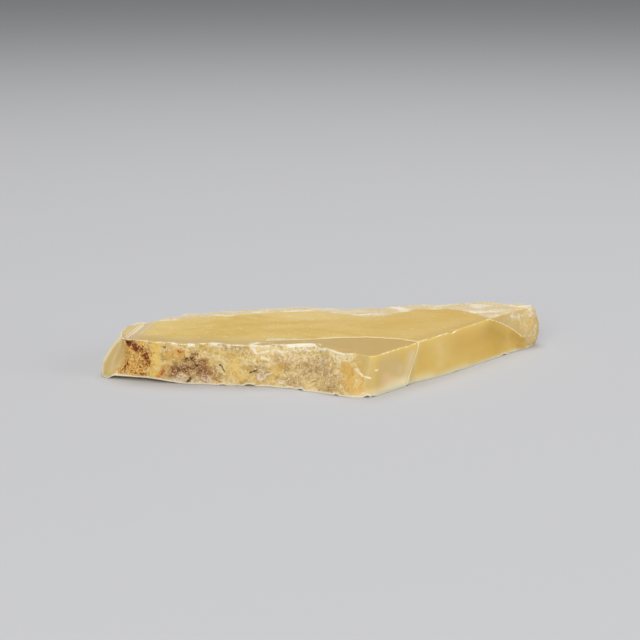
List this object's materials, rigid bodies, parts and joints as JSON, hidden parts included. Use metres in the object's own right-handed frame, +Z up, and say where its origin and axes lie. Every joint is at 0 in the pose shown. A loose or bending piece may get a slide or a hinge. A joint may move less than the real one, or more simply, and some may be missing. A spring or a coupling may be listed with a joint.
{
  "type": "hokkaidoite slice",
  "caption": "Sawn slab of translucent honey opal with a natural rind, rust stains and a cracked front wedge, lying flat as a mineral specimen.",
  "frame": {"origin": "middle of the footprint's box, on the surface that the slab rests on", "axes": "+X along the slab's length towards the rind tip, +Y towards the rind side, +Z up through the thickness"},
  "size_m": [0.0656, 0.0372, 0.006],
  "materials": {
    "honey_opal": "translucent satin stone, frosted along its broken edges, with a chalky rind"
  },
  "bodies": {
    "root": {"hokkaidoite_slice": "honey_opal"}
  },
  "joints": []
}
